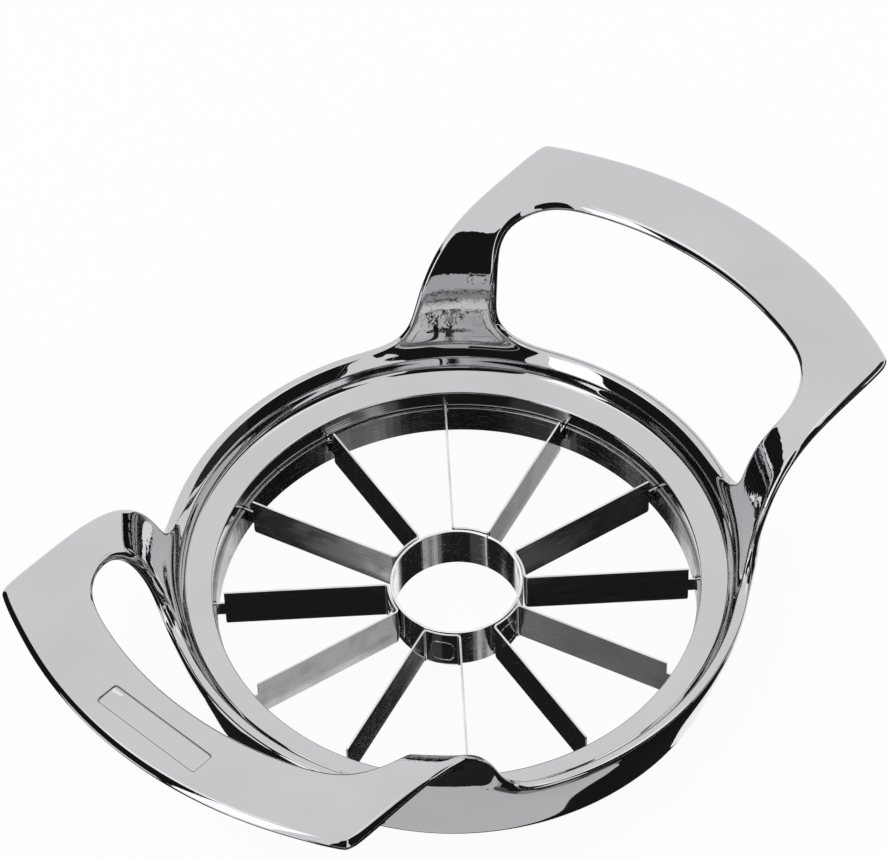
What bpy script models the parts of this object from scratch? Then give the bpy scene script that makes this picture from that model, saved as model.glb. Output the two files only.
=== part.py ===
# Pineapple slicer: a cast ring with two raised handles, holding twelve radial blades round a core
# ring. It stands on z = 0, its axis is the z axis and its handles lie along x. All sizes are in
# metres and all angles in degrees.

import math

import bmesh
import bpy

# Ring of the frame. The lip's inner edge sets its size; the rest is set inwards and down from it.
LIP_RADIUS = 0.0698
LIP_HEIGHT = 0.0218
LIP_WIDTH = 0.0028
LIP_FALL = 0.0008
LIP_CROWN = 0.0007
CREASE_INSET = 0.0021
CREASE_DROP = 0.0021
WALL_FOOT_INSET = 0.0028
WALL_FOOT_DROP = 0.0055
DISH_EDGE_INSET = 0.0036
DISH_EDGE_DROP = 0.0061
DISH_WIDTH = 0.0062
DISH_DEPTH = 0.0013
BORE_ROUND = 0.0004
SKIRT_TAPER = 0.0028
SKIRT_WAIST_SHARE = 0.45

# Handles of the frame
HANDLE_LENGTH = 0.1113
HANDLE_HEIGHT = 0.0552
HANDLE_HALF_WIDTH = 0.0565
HANDLE_WALL = 0.0034
RIM_ROUND = 0.0016
BEND_RADIUS = 0.0921
BEND_HEIGHT = 0.0545
HOLE_HALF_WIDTH = 0.0455
HOLE_SIDE_ANGLE = 33.8
HOLE_CORNER_ANGLE = 26.6
ROOT_HOLE_ANGLE = 28.5
ROOT_SIDE_FLARE = 1.2
CLIMB_CONTROL_SHARES = ((0.162, 0.654), (0.345, 0.968))
CLIMB_ROW_SHARES = (0.09, 0.21, 0.35, 0.50, 0.66, 0.83)
GRIP_MIDDLE_SHARE = 0.5
SLOPE_SHARE = 0.001

# Bare panel sunk into the grip at -x
PANEL_RADIUS = 0.1014
PANEL_LENGTH = 0.0311
PANEL_WIDTH = 0.0064
PANEL_DEPTH = 0.0003

# Facets and roundness of the frame
HOLE_COLUMNS = 4
ARM_COLUMNS = 3
SIDE_COLUMNS = 5
SMOOTHING_LEVELS = 1
WALL_CREASE_SHARE = 0.6
RIM_CREASE_SHARE = 0.2
EDGE_CREASE_SHARE = 1
CORNER_CREASE_SHARE = 0.5

# Retaining ring, pressed up under the shoulder of the frame
RETAINER_LEDGE = 0.0008
RETAINER_WALL = 0.0016
RETAINER_FOOT_HEIGHT = 0.0008
SHOULDER_HEIGHT = 0.0094
SLOT_WIDTH = 0.0015
RETAINER_SEAM_ANGLE = 90.8

# Core ring
CORE_OUTER_RADIUS = 0.0163
CORE_WALL = 0.0007
CORE_DEPTH = 0.0120
CORE_GRIND_DEPTH = 0.0006
CORE_SEAM_ANGLE = 13.2
SEAM_WIDTH = 0.0003

# Blades
STRIP_COUNT = 6
FIRST_STRIP_ANGLE = 30.0
BLADE_SPREAD = 30.0
BLADE_TOP_HEIGHT = 0.0130
BLADE_DEPTH = 0.0118
BLADE_THICKNESS = 0.0005
BLADE_BEND_RADIUS = 0.0007
BLADE_END_GAP = 0.0017
BLADE_SHOULDER_TAPER = 0.0005
BLADE_GRIND_DEPTH = 0.0014
BLADE_EDGE_SHARE = 0.2
TAB_DEPTH = 0.0042

# Fits and cuts
FIT_GAP = 0.0003
CUT_OVERRUN = 0.0020

# Facets of the turned and bent pieces
RETAINER_STEPS = 96
CORE_STEPS = 48
BEND_STEPS = 4
FOOT_STEPS = 5

MERGE_DISTANCE = 0.00001
SHARP_ANGLE = 35.0

PART_NAME = "pineapple_slicer"
CUTTER_COLLECTION = "cutters"

CHROME = ((0.76, 0.76, 0.78), 0.08)
DARK_STEEL = ((0.42, 0.42, 0.43), 0.28)
BLADE_STEEL = ((0.55, 0.55, 0.56), 0.24)


# Values that follow from the sizes above
DISH_EDGE_RADIUS = LIP_RADIUS - DISH_EDGE_INSET
DISH_EDGE_HEIGHT = LIP_HEIGHT - DISH_EDGE_DROP
BORE_RADIUS = DISH_EDGE_RADIUS - DISH_WIDTH
BORE_TOP_HEIGHT = DISH_EDGE_HEIGHT - DISH_DEPTH
SKIRT_FOOT_RADIUS = LIP_RADIUS - SKIRT_TAPER
RETAINER_INNER_RADIUS = BORE_RADIUS - RETAINER_LEDGE
BLADE_SHOULDER_RADIUS = RETAINER_INNER_RADIUS - BLADE_END_GAP
BLADE_FOOT_HEIGHT = BLADE_TOP_HEIGHT - BLADE_DEPTH
RETAINER_TOP_HEIGHT = SHOULDER_HEIGHT - FIT_GAP
TAB_TOP_HEIGHT = SHOULDER_HEIGHT - FIT_GAP
TAB_FOOT_HEIGHT = TAB_TOP_HEIGHT - TAB_DEPTH
RETAINER_OUTER_RADIUS = RETAINER_INNER_RADIUS + RETAINER_WALL
COUNTERBORE_RADIUS = RETAINER_OUTER_RADIUS + FIT_GAP
TAB_END_RADIUS = COUNTERBORE_RADIUS - FIT_GAP
FOOT_RADIUS = CORE_OUTER_RADIUS + FIT_GAP + BLADE_THICKNESS / 2


def clear_scene():
    for scene_object in list(bpy.data.objects):
        bpy.data.objects.remove(scene_object)


def new_collection(name):
    collection = bpy.data.collections.new(name)
    bpy.context.scene.collection.children.link(collection)
    return collection


def steel(name, finish):
    colour, roughness = finish
    material = bpy.data.materials.new(name)
    material.use_nodes = True
    shader = material.node_tree.nodes["Principled BSDF"]
    shader.inputs["Base Color"].default_value = (*colour, 1.0)
    shader.inputs["Roughness"].default_value = roughness
    shader.inputs["Metallic"].default_value = 1.0
    return material


def new_object(name, mesh, collection):
    made = bpy.data.objects.new(name, mesh)
    collection.objects.link(made)
    return made


def finish(made, material):
    mesh = made.data
    mesh.materials.append(material)
    mesh.shade_smooth()
    mesh.set_sharp_from_angle(angle=math.radians(SHARP_ANGLE))


def polar(radius, angle, height):
    turn = math.radians(angle)
    return (radius * math.cos(turn), radius * math.sin(turn), height)


def blend(start, end, share):
    return start + (end - start) * share


# Section of the ring: from the bore out along the dish, up its wall to the crease, over the lip,
# down the skirt and round to the counterbore
def ring_section():
    lip_outer = (LIP_RADIUS + LIP_WIDTH, LIP_HEIGHT - LIP_FALL)
    skirt_foot = (SKIRT_FOOT_RADIUS, 0)
    round_share = BORE_ROUND / DISH_WIDTH
    return [
        (BORE_RADIUS, BORE_TOP_HEIGHT - BORE_ROUND),
        (BORE_RADIUS + BORE_ROUND, BORE_TOP_HEIGHT + DISH_DEPTH * round_share),
        (DISH_EDGE_RADIUS, DISH_EDGE_HEIGHT),
        (LIP_RADIUS - WALL_FOOT_INSET, LIP_HEIGHT - WALL_FOOT_DROP),
        (LIP_RADIUS - CREASE_INSET, LIP_HEIGHT - CREASE_DROP),
        (LIP_RADIUS, LIP_HEIGHT),
        (LIP_RADIUS + LIP_WIDTH / 2, LIP_HEIGHT - LIP_FALL / 2 + LIP_CROWN),
        lip_outer,
        tuple(blend(a, b, SKIRT_WAIST_SHARE) for a, b in zip(lip_outer, skirt_foot)),
        skirt_foot,
        (COUNTERBORE_RADIUS, 0),
        (COUNTERBORE_RADIUS, SHOULDER_HEIGHT),
        (BORE_RADIUS, SHOULDER_HEIGHT),
    ]


# Places in the section of the lip's inner edge, crown and outer edge
LIP = (5, 6, 7)
SECTION_CREASE_SHARES = {
    0: EDGE_CREASE_SHARE,
    1: EDGE_CREASE_SHARE,
    4: WALL_CREASE_SHARE,
    5: RIM_CREASE_SHARE,
    7: RIM_CREASE_SHARE,
    9: EDGE_CREASE_SHARE,
    10: EDGE_CREASE_SHARE,
    11: EDGE_CREASE_SHARE,
    12: EDGE_CREASE_SHARE,
}


# The quarter's columns run below the finger hole, below the arm and along the open side.
def column_angles():
    root_side = side_angle(LIP_RADIUS, 0) + ROOT_SIDE_FLARE
    spans = [
        (0, ROOT_HOLE_ANGLE, HOLE_COLUMNS),
        (ROOT_HOLE_ANGLE, root_side, ARM_COLUMNS),
        (root_side, 90, SIDE_COLUMNS),
    ]
    return [blend(low, high, i / count) for low, high, count in spans for i in range(count)] + [90]


# Smoothing draws a column inwards by the angles to its two neighbours, so the cage stands outside.
def ring_columns(bm):
    angles = column_angles()
    low = [-angles[1]] + angles[:-1]
    high = angles[1:] + [180 - angles[-2]]
    columns = []
    for before, angle, after in zip(low, angles, high):
        pull = math.cos(math.radians(angle - before)) + math.cos(math.radians(after - angle))
        swell = 6 / (4 + pull)
        section = [(radius * swell, height) for radius, height in ring_section()]
        columns.append([bm.verts.new(polar(radius, angle, height)) for radius, height in section])
    return columns


def crease(bm, first, second, share):
    layer = bm.edges.layers.float.get("crease_edge") or bm.edges.layers.float.new("crease_edge")
    bm.edges.get((first, second))[layer] = share


def ring_faces(bm, columns):
    count = len(columns[0])
    for column, (here, there) in enumerate(zip(columns, columns[1:])):
        under_arm = HOLE_COLUMNS <= column < HOLE_COLUMNS + ARM_COLUMNS
        for i in range(count):
            after = (i + 1) % count
            if not (under_arm and i in LIP and after in LIP):
                bm.faces.new((here[i], here[after], there[after], there[i]))
        for i, share in SECTION_CREASE_SHARES.items():
            if not (under_arm and i in LIP):
                crease(bm, here[i], there[i], share)


# Profile of the handle's upper face as (radius, height): place 0 is at the lip, 1 at the end of
# the bend and 2 at the end of the grip.
def face_point(place):
    start = (LIP_RADIUS, LIP_HEIGHT)
    end = (BEND_RADIUS, BEND_HEIGHT)
    if place > 1:
        return tuple(blend(a, b, place - 1) for a, b in zip(end, (HANDLE_LENGTH, HANDLE_HEIGHT)))
    first, second = (
        tuple(blend(a, b, share) for a, b, share in zip(start, end, shares))
        for shares in CLIMB_CONTROL_SHARES
    )
    rest = 1 - place
    weights = (rest**3, 3 * rest**2 * place, 3 * rest * place**2, place**3)
    corners = (start, first, second, end)
    return tuple(sum(w * corner[axis] for w, corner in zip(weights, corners)) for axis in range(2))


# Points of the sheet square to its face: on the face, in the middle and on the underside
def sheet_points(place):
    low = face_point(place - SLOPE_SHARE)
    high = face_point(min(place + SLOPE_SHARE, 2))
    slope = math.atan2(high[1] - low[1], high[0] - low[0])
    radius, height = face_point(place)
    return [
        (radius + depth * math.sin(slope), height - depth * math.cos(slope))
        for depth in (0, HANDLE_WALL / 2, HANDLE_WALL)
    ]


# A rim's middle stands out beyond its two edges. The cage's middle stands out half as far again,
# because smoothing draws it in.
RIM_INSETS = (RIM_ROUND, -RIM_ROUND / 2, RIM_ROUND)


def side_angle(radius, inset):
    return math.degrees(math.asin((HANDLE_HALF_WIDTH - inset) / radius))


def hole_angle(radius, inset):
    side = min(HOLE_SIDE_ANGLE, math.degrees(math.asin(HOLE_HALF_WIDTH / radius)))
    return side + math.degrees(inset / radius)


# A row across the handle, as triples of a face point, a middle point and an underside point. Only
# rows on the grip reach in to the middle of the handle. An end of 1 is the grip's outer end, and
# -1 is the side of the finger hole.
def handle_row(bm, place, end=0):
    layers = []
    for (radius, height), inset in zip(sheet_points(place), RIM_INSETS):
        radius -= end * inset
        side = side_angle(radius, inset)
        corner = hole_angle(radius, inset)
        if place >= 1:
            corner = HOLE_CORNER_ANGLE + math.degrees(inset / radius)
        angles = [blend(corner, side, i / ARM_COLUMNS) for i in range(ARM_COLUMNS + 1)]
        if place >= 1:
            angles = [corner * i / HOLE_COLUMNS for i in range(HOLE_COLUMNS)] + angles
        layers.append([bm.verts.new(polar(radius, angle, height)) for angle in angles])
    return list(zip(*layers))


def rim_faces(bm, triples):
    for first, second in zip(triples, triples[1:]):
        bm.faces.new((first[0], second[0], second[1], first[1]))
        bm.faces.new((first[1], second[1], second[2], first[2]))
        crease(bm, first[0], second[0], RIM_CREASE_SHARE)
        crease(bm, first[2], second[2], RIM_CREASE_SHARE)


def handle_faces(bm, columns):
    root = columns[HOLE_COLUMNS : HOLE_COLUMNS + ARM_COLUMNS + 1]
    arm = [[tuple(column[i] for i in LIP) for column in root]]
    arm += [handle_row(bm, place) for place in CLIMB_ROW_SHARES]
    grip = [handle_row(bm, 1, -1), handle_row(bm, 1 + GRIP_MIDDLE_SHARE), handle_row(bm, 2, 1)]
    rows = arm + grip
    for low, high in zip(rows, rows[1:]):
        across = high[-len(low) :]
        for i in range(len(low) - 1):
            for layer in (0, 2):
                bm.faces.new((low[i][layer], low[i + 1][layer], across[i + 1][layer], across[i][layer]))
    rim_faces(bm, [row[0] for row in arm] + list(reversed(grip[0][: HOLE_COLUMNS + 1])))
    rim_faces(bm, [row[-1] for row in rows] + list(reversed(grip[-1][:-1])))
    crease(bm, *grip[-1][-1][:2], CORNER_CREASE_SHARE)
    crease(bm, *grip[-1][-1][1:], CORNER_CREASE_SHARE)


def build_frame(collection, cutters):
    bm = bmesh.new()
    columns = ring_columns(bm)
    ring_faces(bm, columns)
    handle_faces(bm, columns)
    inside = [vert for vert in bm.verts if not vert.link_faces]
    bmesh.ops.delete(bm, geom=inside, context="VERTS")
    bmesh.ops.recalc_face_normals(bm, faces=bm.faces)
    mesh = bpy.data.meshes.new("frame")
    bm.to_mesh(mesh)
    bm.free()
    frame = new_object("frame", mesh, collection)
    mirror = frame.modifiers.new("four quarters", "MIRROR")
    mirror.use_axis = (True, True, False)
    mirror.merge_threshold = MERGE_DISTANCE
    smoothing = frame.modifiers.new("smoothing", "SUBSURF")
    smoothing.levels = SMOOTHING_LEVELS
    smoothing.render_levels = SMOOTHING_LEVELS
    cut(frame, panel_cutter(cutters))
    finish(frame, steel("chrome", CHROME))


# Slab whose underside lies one panel depth below the grip and slopes with it
def panel_cutter(cutters):
    share = (PANEL_RADIUS - BEND_RADIUS) / (HANDLE_LENGTH - BEND_RADIUS)
    radius, height = face_point(1 + share)
    slope = math.atan2(HANDLE_HEIGHT - BEND_HEIGHT, HANDLE_LENGTH - BEND_RADIUS)
    thickness = PANEL_DEPTH + CUT_OVERRUN
    bm = bmesh.new()
    bmesh.ops.create_cube(bm, size=1)
    for vert in bm.verts:
        vert.co.x *= PANEL_WIDTH
        vert.co.y *= PANEL_LENGTH
        vert.co.z = (vert.co.z + 0.5) * thickness - PANEL_DEPTH
    mesh = bpy.data.meshes.new("panel")
    bm.to_mesh(mesh)
    bm.free()
    cutter = new_object("panel", mesh, cutters)
    cutter.location = (-radius, 0, height)
    cutter.rotation_euler.y = slope
    hide_cutter(cutter)
    return cutter


# A turned piece: a closed profile of (radius, height) points, screwed once round the z axis
def turned(name, profile, steps, collection):
    mesh = bpy.data.meshes.new(name)
    points = [(radius, 0, height) for radius, height in profile]
    edges = [(i, (i + 1) % len(points)) for i in range(len(points))]
    mesh.from_pydata(points, edges, [])
    made = new_object(name, mesh, collection)
    screw = made.modifiers.new("turn", "SCREW")
    screw.steps = steps
    screw.render_steps = steps
    screw.use_merge_vertices = True
    screw.merge_threshold = MERGE_DISTANCE
    return made


def hide_cutter(cutter):
    cutter.hide_render = True
    cutter.display_type = "WIRE"


# Radial bars, one at each angle, as one cutter
def radial_cutter(name, angles, width, inner, outer, low, high, cutters):
    bm = bmesh.new()
    for angle in angles:
        bar = bmesh.ops.create_cube(bm, size=1)["verts"]
        for vert in bar:
            along = blend(inner, outer, vert.co.x + 0.5)
            across = vert.co.y * width
            turn = math.radians(angle)
            height = blend(low, high, vert.co.z + 0.5)
            vert.co.x = along * math.cos(turn) - across * math.sin(turn)
            vert.co.y = along * math.sin(turn) + across * math.cos(turn)
            vert.co.z = height
    mesh = bpy.data.meshes.new(name)
    bm.to_mesh(mesh)
    bm.free()
    cutter = new_object(name, mesh, cutters)
    hide_cutter(cutter)
    return cutter


def cut(made, cutter):
    difference = made.modifiers.new(cutter.name, "BOOLEAN")
    difference.object = cutter
    difference.operation = "DIFFERENCE"


def build_retaining_ring(collection, cutters):
    profile = [
        (RETAINER_OUTER_RADIUS, RETAINER_TOP_HEIGHT),
        (RETAINER_OUTER_RADIUS, RETAINER_FOOT_HEIGHT),
        (RETAINER_INNER_RADIUS, RETAINER_FOOT_HEIGHT),
        (RETAINER_INNER_RADIUS, RETAINER_TOP_HEIGHT),
    ]
    retainer = turned("retaining_ring", profile, RETAINER_STEPS, collection)
    inner = RETAINER_INNER_RADIUS - CUT_OVERRUN
    outer = RETAINER_OUTER_RADIUS + CUT_OVERRUN
    top = RETAINER_TOP_HEIGHT + CUT_OVERRUN
    slot_foot = TAB_FOOT_HEIGHT - FIT_GAP
    slots = radial_cutter("slots", blade_angles(), SLOT_WIDTH, inner, outer, slot_foot, top, cutters)
    foot = RETAINER_FOOT_HEIGHT - CUT_OVERRUN
    seam = radial_cutter(
        "retainer_seam", [RETAINER_SEAM_ANGLE], SEAM_WIDTH, inner, outer, foot, top, cutters
    )
    cut(retainer, slots)
    cut(retainer, seam)
    finish(retainer, steel("retainer_steel", DARK_STEEL))


def build_core_ring(collection, cutters):
    inner = CORE_OUTER_RADIUS - CORE_WALL
    edge_radius = inner + CORE_WALL * BLADE_EDGE_SHARE
    foot = BLADE_TOP_HEIGHT - CORE_DEPTH
    profile = [
        (CORE_OUTER_RADIUS, BLADE_TOP_HEIGHT),
        (CORE_OUTER_RADIUS, foot + CORE_GRIND_DEPTH),
        (edge_radius, foot),
        (inner, foot),
        (inner, BLADE_TOP_HEIGHT),
    ]
    core = turned("core_ring", profile, CORE_STEPS, collection)
    seam = radial_cutter(
        "core_seam",
        [CORE_SEAM_ANGLE],
        SEAM_WIDTH,
        inner - CUT_OVERRUN,
        CORE_OUTER_RADIUS + CUT_OVERRUN,
        foot - CUT_OVERRUN,
        BLADE_TOP_HEIGHT + CUT_OVERRUN,
        cutters,
    )
    cut(core, seam)
    finish(core, steel("core_steel", BLADE_STEEL))


def strip_angles():
    return [FIRST_STRIP_ANGLE + 360 / STRIP_COUNT * i for i in range(STRIP_COUNT)]


def blade_angles():
    return [angle + side * BLADE_SPREAD / 2 for angle in strip_angles() for side in (-1, 1)]


# Plan of one half of a strip, from the middle of its foot round the bend to the blade's outer end,
# before the ends are trimmed. The blade leaves the axis at half the spread.
def half_strip_plan():
    half = math.radians(BLADE_SPREAD / 2)
    bend = BLADE_BEND_RADIUS + BLADE_THICKNESS / 2
    centre_radius = FOOT_RADIUS + bend
    centre_angle = half - math.asin(bend / centre_radius)
    centre = (centre_radius * math.cos(centre_angle), centre_radius * math.sin(centre_angle))
    points = []
    for i in range(FOOT_STEPS):
        angle = centre_angle * i / FOOT_STEPS
        points.append((FOOT_RADIUS * math.cos(angle), FOOT_RADIUS * math.sin(angle)))
    start = centre_angle + math.pi
    end = half + math.pi / 2
    for i in range(BEND_STEPS + 1):
        angle = blend(start, end, i / BEND_STEPS)
        points.append((centre[0] + bend * math.cos(angle), centre[1] + bend * math.sin(angle)))
    outer = COUNTERBORE_RADIUS + CUT_OVERRUN
    points.append((outer * math.cos(half), outer * math.sin(half)))
    return points


# Leaves each blade's tab: cuts the strip back above it, below it and past its end.
def shoulder_cutter(cutters):
    reach = COUNTERBORE_RADIUS + 2 * CUT_OVERRUN
    foot = BLADE_FOOT_HEIGHT - CUT_OVERRUN
    top = BLADE_TOP_HEIGHT + CUT_OVERRUN
    taper = BLADE_SHOULDER_TAPER / (TAB_FOOT_HEIGHT - BLADE_FOOT_HEIGHT)
    foot_radius = BLADE_SHOULDER_RADIUS - taper * (TAB_FOOT_HEIGHT - foot)
    profile = [
        (reach, top),
        (reach, foot),
        (foot_radius, foot),
        (BLADE_SHOULDER_RADIUS, TAB_FOOT_HEIGHT),
        (TAB_END_RADIUS, TAB_FOOT_HEIGHT),
        (TAB_END_RADIUS, TAB_TOP_HEIGHT),
        (BLADE_SHOULDER_RADIUS, TAB_TOP_HEIGHT),
        (BLADE_SHOULDER_RADIUS, top),
    ]
    cutter = turned("shoulders", profile, RETAINER_STEPS, cutters)
    hide_cutter(cutter)
    return cutter


def strip_mesh(angle):
    half = half_strip_plan()
    plan = [(x, -y) for x, y in reversed(half[1:])] + half
    heights = (BLADE_TOP_HEIGHT, BLADE_FOOT_HEIGHT + BLADE_GRIND_DEPTH, BLADE_FOOT_HEIGHT)
    turn = math.radians(angle)
    bm = bmesh.new()
    rows = []
    for height in heights:
        rows.append([
            bm.verts.new((
                x * math.cos(turn) - y * math.sin(turn),
                x * math.sin(turn) + y * math.cos(turn),
                height,
            ))
            for x, y in plan
        ])
    for upper, lower in zip(rows, rows[1:]):
        for i in range(len(plan) - 1):
            bm.faces.new((upper[i], upper[i + 1], lower[i + 1], lower[i]))
    mesh = bpy.data.meshes.new("blade_strip")
    bm.to_mesh(mesh)
    bm.free()
    return mesh, len(plan)


def build_strip(number, angle, shoulders, material, collection):
    mesh, width = strip_mesh(angle)
    strip = new_object(f"blade_strip_{number}", mesh, collection)
    full = strip.vertex_groups.new(name="full thickness")
    full.add(list(range(2 * width)), 1.0, "REPLACE")
    wall = strip.modifiers.new("wall", "SOLIDIFY")
    wall.thickness = BLADE_THICKNESS
    wall.offset = 0
    wall.use_even_offset = True
    wall.vertex_group = full.name
    wall.thickness_vertex_group = BLADE_EDGE_SHARE
    cut(strip, shoulders)
    finish(strip, material)


def main():
    clear_scene()
    parts = new_collection(PART_NAME)
    cutters = new_collection(CUTTER_COLLECTION)
    build_frame(parts, cutters)
    build_retaining_ring(parts, cutters)
    build_core_ring(parts, cutters)
    shoulders = shoulder_cutter(cutters)
    material = steel("blade_steel", BLADE_STEEL)
    for number, angle in enumerate(strip_angles(), start=1):
        build_strip(number, angle, shoulders, material, parts)


main()
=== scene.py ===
# Pineapple slicer: the looks. Metres, +Z up, the handles along X, as in the CAD.

import math

import bmesh
import bpy
from mathutils import Matrix, Vector


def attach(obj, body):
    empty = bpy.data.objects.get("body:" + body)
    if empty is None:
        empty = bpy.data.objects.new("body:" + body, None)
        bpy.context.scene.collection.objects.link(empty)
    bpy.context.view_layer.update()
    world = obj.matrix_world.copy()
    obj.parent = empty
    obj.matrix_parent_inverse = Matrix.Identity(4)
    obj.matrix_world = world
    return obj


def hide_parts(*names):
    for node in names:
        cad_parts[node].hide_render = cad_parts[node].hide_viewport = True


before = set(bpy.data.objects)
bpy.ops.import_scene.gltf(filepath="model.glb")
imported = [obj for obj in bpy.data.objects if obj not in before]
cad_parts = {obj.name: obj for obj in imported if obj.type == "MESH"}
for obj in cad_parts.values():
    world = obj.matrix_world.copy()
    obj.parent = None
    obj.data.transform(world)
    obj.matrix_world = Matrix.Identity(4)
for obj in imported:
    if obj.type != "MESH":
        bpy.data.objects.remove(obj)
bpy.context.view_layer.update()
mm = 0.001
mergeGap = 0.005 * mm  # points closer than this are one


def polar(radius, angle, height):
    turn = math.radians(angle)
    return Vector((radius * math.cos(turn), radius * math.sin(turn), height))


def mixed(start, end, share):
    return start + (end - start) * share


# Every piece starts in object mode with nothing selected.
def deselectAll():
    if bpy.context.object and bpy.context.object.mode != "OBJECT":
        bpy.ops.object.mode_set(mode="OBJECT")
    bpy.ops.object.select_all(action="DESELECT")


def activate(piece):
    deselectAll()
    piece.select_set(True)
    bpy.context.view_layer.objects.active = piece


def applyAll(piece):
    activate(piece)
    for modifier in list(piece.modifiers):
        bpy.ops.object.modifier_apply(modifier=modifier.name)


# Camera: the photograph's own view, worked out from the corners of the handles
cameraView = {
    "place": (-0.50338, -0.48081, 0.88470),
    "azimuth": -136.2015,
    "elevation": 49.476,
    "roll": -2.019,
    "lens": 183.41,
    "sensor": 36.0,
    "nearest": 0.05,
    "farthest": 20.0,
}


def addCamera():
    data = bpy.data.cameras.new("photoCamera")
    data.lens = cameraView["lens"]
    data.sensor_width = cameraView["sensor"]
    data.sensor_fit = "HORIZONTAL"
    data.clip_start = cameraView["nearest"]
    data.clip_end = cameraView["farthest"]
    camera = bpy.data.objects.new("photoCamera", data)
    bpy.context.scene.collection.objects.link(camera)
    azimuth, elevation = (math.radians(cameraView[key]) for key in ("azimuth", "elevation"))
    back = Vector((
        math.cos(elevation) * math.cos(azimuth),
        math.cos(elevation) * math.sin(azimuth),
        math.sin(elevation),
    ))
    right = Vector((0, 0, 1)).cross(back).normalized()
    turn = Matrix((right, back.cross(right), back)).transposed().to_4x4()
    roll = Matrix.Rotation(math.radians(cameraView["roll"]), 4, "Z")
    camera.matrix_world = Matrix.Translation(cameraView["place"]) @ turn @ roll
    bpy.context.scene.camera = camera


addCamera()
print("camera set")


# Polished frame: ring, lip and both handles in one casting
frameSize = {
    "section": (  # radius and height, from the bore over the lip and down the skirt
        (60.0, 14.4), (63.2, 15.05), (66.2, 15.7), (66.9, 16.3), (67.7, 19.6), (69.8, 21.8),
        (71.2, 22.1), (72.9, 21.3), (70.2, 11.55), (67.0, 0.0), (61.1, 0.0),
        (61.1, 9.4), (60.0, 9.4),
    ),
    "lip": (5, 6, 7),  # the points of the section from which the handles grow
    "sharp": (0, 4, 5, 9, 10, 11, 12),
    "lowRim": 0.55,
    "holeColumns": 4,
    "armColumns": 3,
    "sideColumns": 5,
    "length": 111.3,
    "height": 55.05,
    "halfWidth": 56.5,
    "wall": 3.4,
    "rimRound": 1.6,
    "bend": (92.1, 54.5),
    "holeHalfWidth": 45.5,
    "holeSide": 33.8,
    "holeCorner": 26.6,
    "rootHole": 28.5,
    "rootFlare": 1.2,
    "climbControls": ((0.162, 0.654), (0.345, 0.968)),
    "climbRows": (0.09, 0.21, 0.35, 0.50, 0.66, 0.83),
    "climbStep": 0.001,
    "edgeRound": 0.25,
    "edgeAngle": 26,
    "corner": 0.25,
    "roughLevels": 1,  # of smoothing, before the edges are rounded
    "fineLevels": 2,  # and after
    "smoothAngle": 45,
    "mirrorGap": 0.01,
}
panelSize = {
    "radius": 101.4,
    "length": 30.5,
    "width": 5.8,
    "depth": 0.3,
    "round": 0.7,
    "roundSegments": 4,
    "overrun": 0.35,
    "draft": 0.3,
    "wallReach": 2.0,  # how far from the grip's face the panel's walls are looked for
    "wallLimit": 0.93,  # faces that look less upwards than this are walls
}


def climbPoint(place):  # 0 at the lip, 1 at the end of the bend, 2 at the end of the grip
    lip = frameSize["section"][frameSize["lip"][0]]
    bend = frameSize["bend"]
    end = (frameSize["length"], frameSize["height"])
    if place > 1:
        return tuple(mixed(a, b, place - 1) for a, b in zip(bend, end))
    first, second = (
        tuple(mixed(a, b, share) for a, b, share in zip(lip, bend, shares))
        for shares in frameSize["climbControls"]
    )
    rest = 1 - place
    weights = (rest**3, 3 * rest**2 * place, 3 * rest * place**2, place**3)
    points = (lip, first, second, bend)
    return tuple(sum(w * point[axis] for w, point in zip(weights, points)) for axis in range(2))


def sheetPoints(place):  # on the upper face, in the middle of the wall and on the underside
    low = climbPoint(place - frameSize["climbStep"])
    high = climbPoint(min(place + frameSize["climbStep"], 2))
    slope = math.atan2(high[1] - low[1], high[0] - low[0])
    radius, height = climbPoint(place)
    wall = frameSize["wall"]
    return [
        (radius + depth * math.sin(slope), height - depth * math.cos(slope))
        for depth in (0, wall / 2, wall)
    ]


def sideAngle(radius, inset):
    return math.degrees(math.asin((frameSize["halfWidth"] - inset) / radius))


def holeAngle(radius, inset):
    side = min(frameSize["holeSide"], math.degrees(math.asin(frameSize["holeHalfWidth"] / radius)))
    return side + math.degrees(inset / radius)


def columnAngles():
    lipRadius = frameSize["section"][frameSize["lip"][0]][0]
    root = sideAngle(lipRadius, 0) + frameSize["rootFlare"]
    hole = frameSize["rootHole"]
    spans = (
        (0, hole, frameSize["holeColumns"]),
        (hole, root, frameSize["armColumns"]),
        (root, 90, frameSize["sideColumns"]),
    )
    return [mixed(low, high, i / count) for low, high, count in spans for i in range(count)] + [90]


# One row of the handle, as triples through the wall. outward is 1 at the grip's end and -1 at the
# hole.
def handleRow(mesh, place, outward=0):
    rim = frameSize["rimRound"]
    arm, hole = frameSize["armColumns"], frameSize["holeColumns"]
    layers = []
    for (radius, height), inset in zip(sheetPoints(place), (rim, -rim / 2, rim)):
        radius -= outward * inset
        corner = holeAngle(radius, inset)
        if place >= 1:
            corner = frameSize["holeCorner"] + math.degrees(inset / radius)
        angles = [mixed(corner, sideAngle(radius, inset), i / arm) for i in range(arm + 1)]
        if place >= 1:
            angles = [corner * i / hole for i in range(hole)] + angles
        layers.append([mesh.verts.new(polar(radius, angle, height) * mm) for angle in angles])
    return list(zip(*layers))


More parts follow.
